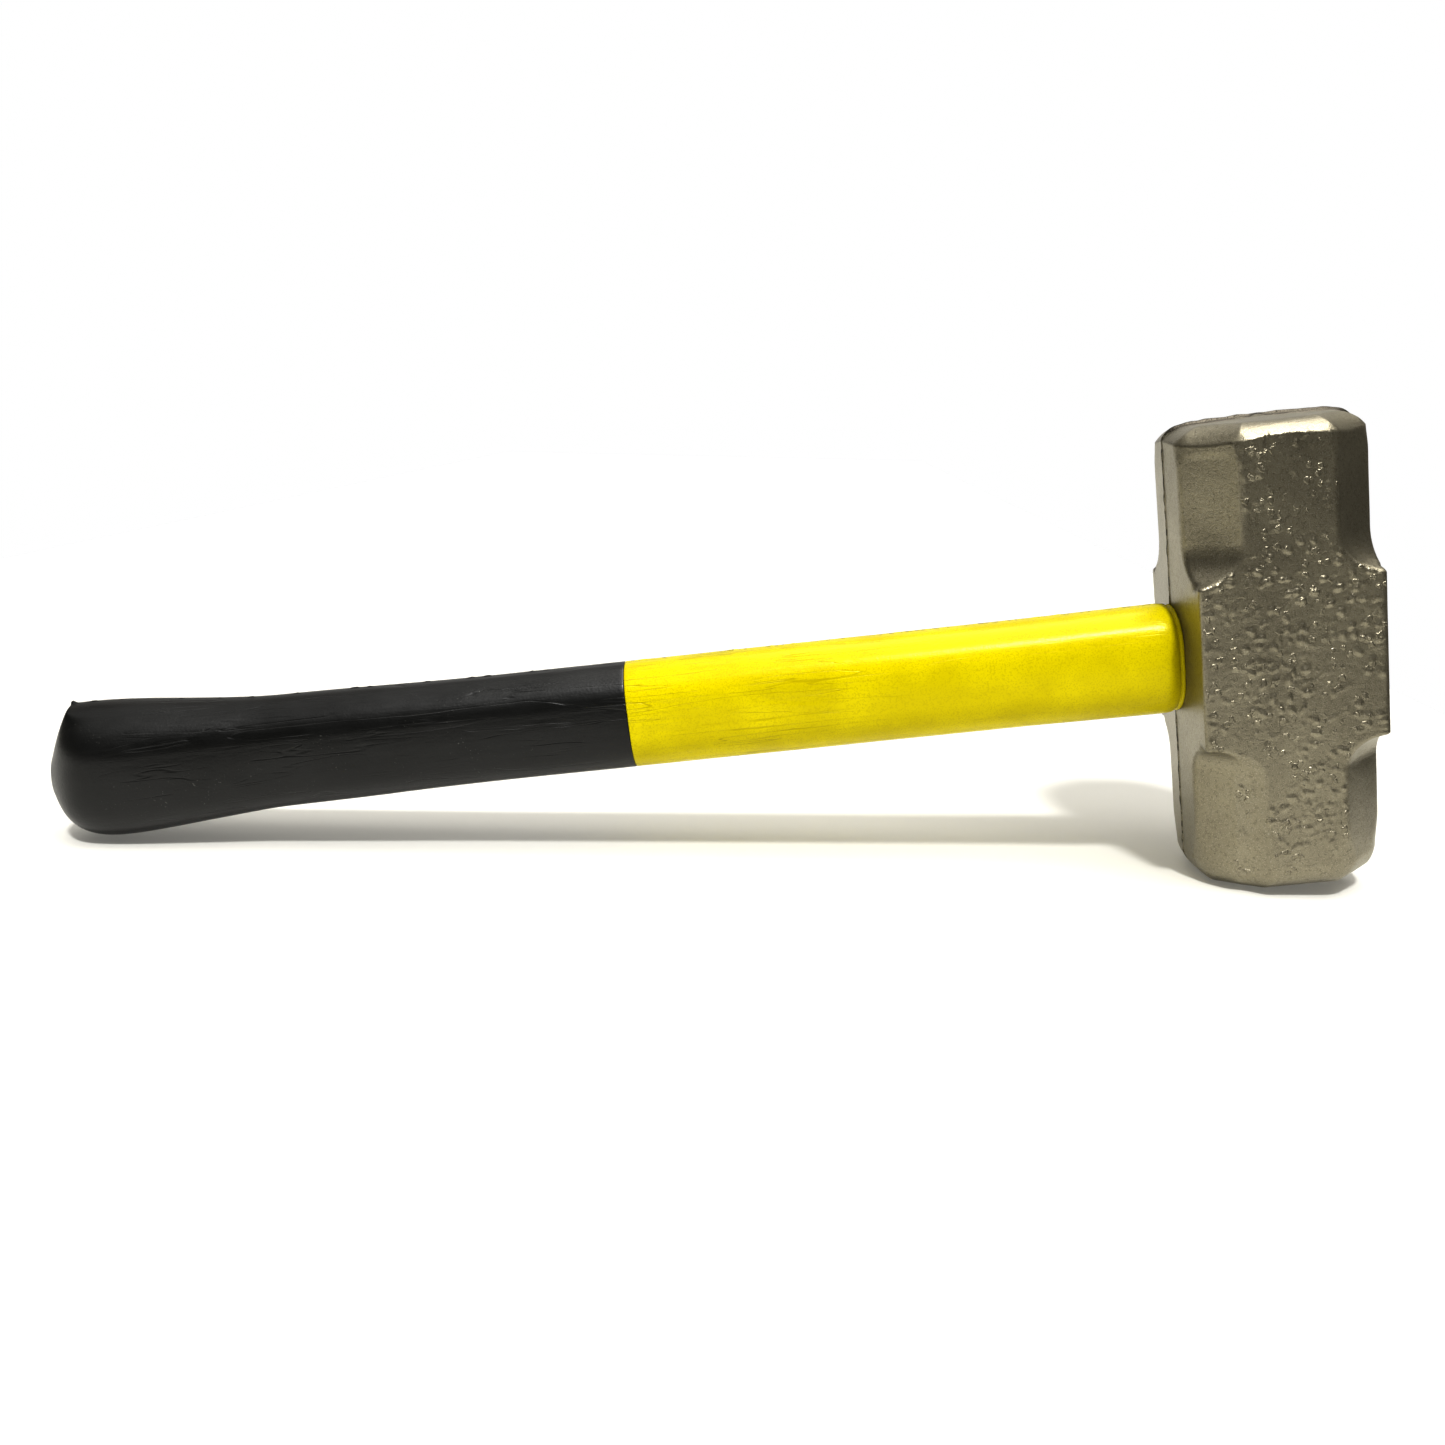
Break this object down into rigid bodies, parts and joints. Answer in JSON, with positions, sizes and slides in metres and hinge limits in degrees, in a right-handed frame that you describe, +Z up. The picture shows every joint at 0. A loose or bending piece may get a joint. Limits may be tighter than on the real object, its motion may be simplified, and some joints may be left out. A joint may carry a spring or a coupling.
{
  "type": "sledgehammer",
  "caption": "Short-handled double-faced sledgehammer: forged steel head with an oval eye, epoxied on a fibreglass handle with a moulded jacket and a rubber grip.",
  "frame": {"origin": "floor level, under the middle of the resting tool's bounding box", "axes": "+Z up from the floor that the lower striking face and the butt rest on, +X along the handle from the butt to the head, +Y across the thickness, away from the side shown in front"},
  "size_m": [0.4108, 0.0556, 0.1418],
  "materials": {
    "head_finish": "satin grey enamel over a pebbled forged surface",
    "epoxy": "poured amber-brown epoxy",
    "seal_rubber": "matt",
    "fibreglass": "pultruded glass rod, sawn end",
    "jacket_plastic": "glossy yellow moulding with fine grain",
    "grip_rubber": "satin charcoal rubber, fine lengthwise wrinkles"
  },
  "bodies": {
    "root": {"head": "head_finish", "eye_epoxy": "epoxy", "eye_seal_ring": "seal_rubber", "handle_core": "fibreglass", "handle_jacket": "jacket_plastic", "grip_sleeve": "grip_rubber"}
  },
  "joints": []
}
